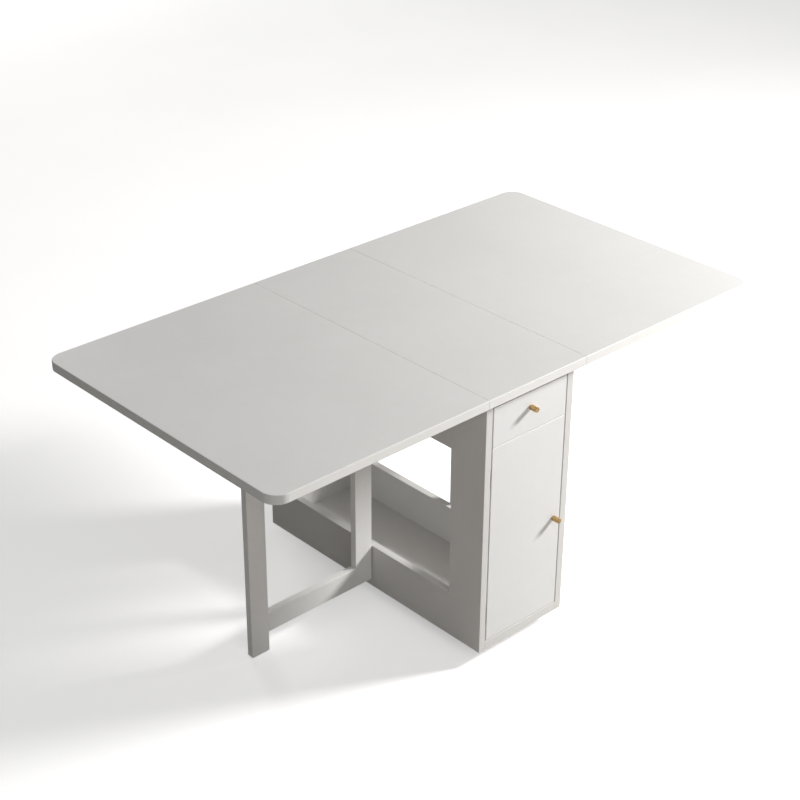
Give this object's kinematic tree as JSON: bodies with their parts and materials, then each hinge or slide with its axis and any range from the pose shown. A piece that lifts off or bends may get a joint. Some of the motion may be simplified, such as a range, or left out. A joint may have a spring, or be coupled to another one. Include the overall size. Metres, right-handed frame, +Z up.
{
  "type": "gateleg table",
  "caption": "White gateleg dining table with a centre strip, drop leaves held by swing gates, and a narrow body with a drawer, a cupboard door and an open trough.",
  "frame": {"origin": "middle of the open table's footprint, on the floor", "axes": "+X along the open table towards the right leaf, +Y from the cabinet front to the back, +Z up"},
  "size_m": [1.56, 0.84, 0.75],
  "materials": {
    "top_paint": "satin white lacquer on board",
    "front_paint": "satin white lacquer on board",
    "body_paint": "satin white lacquer on board",
    "gate_paint": "satin white lacquer on board",
    "drawer_box": "matt white foil",
    "drawer_panel": "matt white foil on thin board",
    "knob_brass": "brushed",
    "hinge_steel": "zinc plated",
    "runner_zinc": "zinc plated",
    "dowel_beech": "raw beech",
    "glide_felt": "pressed felt",
    "foot_plastic": "moulded",
    "catch_plastic": "moulded"
  },
  "bodies": {
    "table_body": {"body_feet": "foot_plastic", "body_screws": "hinge_steel", "cabinet_back": "body_paint", "cabinet_bottom": "body_paint", "cabinet_shelf": "body_paint", "cabinet_top": "body_paint", "centre_top": "top_paint", "door_hinge_cabinet_plates": "hinge_steel", "door_hinge_pins": "hinge_steel", "drawer_deck": "body_paint", "end_panel": "body_paint", "gate_hinge_body_plates": "hinge_steel", "gate_hinge_pins": "hinge_steel", "leaf_hinge_fixed_plates": "hinge_steel", "leaf_hinge_pins": "hinge_steel", "left_cabinet_runner": "runner_zinc", "left_side_panel": "body_paint", "magnetic_catch": "catch_plastic", "right_cabinet_runner": "runner_zinc", "right_side_panel": "body_paint", "shelf_pins": "hinge_steel", "top_stretcher": "body_paint", "trough_floor": "body_paint"},
    "left_leaf": {"left_leaf": "top_paint", "left_leaf_hinge_plates": "hinge_steel", "left_leaf_screws": "hinge_steel", "left_gate_stop": "gate_paint"},
    "right_leaf": {"right_leaf": "top_paint", "right_leaf_hinge_plates": "hinge_steel", "right_leaf_screws": "hinge_steel", "right_gate_stop": "gate_paint"},
    "left_gate": {"left_gate_dowels": "dowel_beech", "left_gate_glide": "glide_felt", "left_gate_hinge_plates": "hinge_steel", "left_gate_leg": "gate_paint", "left_gate_lower_rail": "gate_paint", "left_gate_post": "gate_paint", "left_gate_screws": "hinge_steel", "left_gate_upper_rail": "gate_paint"},
    "right_gate": {"right_gate_dowels": "dowel_beech", "right_gate_glide": "glide_felt", "right_gate_hinge_plates": "hinge_steel", "right_gate_leg": "gate_paint", "right_gate_lower_rail": "gate_paint", "right_gate_post": "gate_paint", "right_gate_screws": "hinge_steel", "right_gate_upper_rail": "gate_paint"},
    "drawer": {"drawer_front": "front_paint", "drawer_left_side": "drawer_box", "drawer_right_side": "drawer_box", "drawer_back": "drawer_box", "drawer_bottom": "drawer_panel", "drawer_knob": "knob_brass", "left_drawer_runner": "runner_zinc", "right_drawer_runner": "runner_zinc"},
    "door": {"door_panel": "front_paint", "door_knob": "knob_brass", "door_hinge_door_plates": "hinge_steel", "catch_plate": "hinge_steel"}
  },
  "joints": [
    {"name": "left_gate_swing", "type": "hinge", "parent": "table_body", "child": "left_gate", "pos_m": [-0.1475, 0.01175, 0.3], "axis": [0, 0, -1], "range_deg": [0, 90]},
    {"name": "right_gate_swing", "type": "hinge", "parent": "table_body", "child": "right_gate", "pos_m": [0.1475, 0.01175, 0.3], "axis": [0, 0, 1], "range_deg": [0, 90]},
    {"name": "drawer_slide", "type": "slide", "parent": "table_body", "child": "drawer", "axis": [0, -1, 0], "range_m": [0, 0.28]},
    {"name": "door_hinge", "type": "hinge", "parent": "table_body", "child": "door", "pos_m": [-0.1233, -0.397, 0.33], "axis": [0, 0, -1], "range_deg": [0, 100]},
    {"name": "left_leaf_hinge", "type": "hinge", "parent": "table_body", "child": "left_leaf", "pos_m": [-0.1668, 0, 0.7225], "axis": [0, 1, 0], "range_deg": [0, 1.5]},
    {"name": "right_leaf_hinge", "type": "hinge", "parent": "table_body", "child": "right_leaf", "pos_m": [0.1668, 0, 0.7225], "axis": [0, -1, 0], "range_deg": [0, 1.5]}
  ]
}
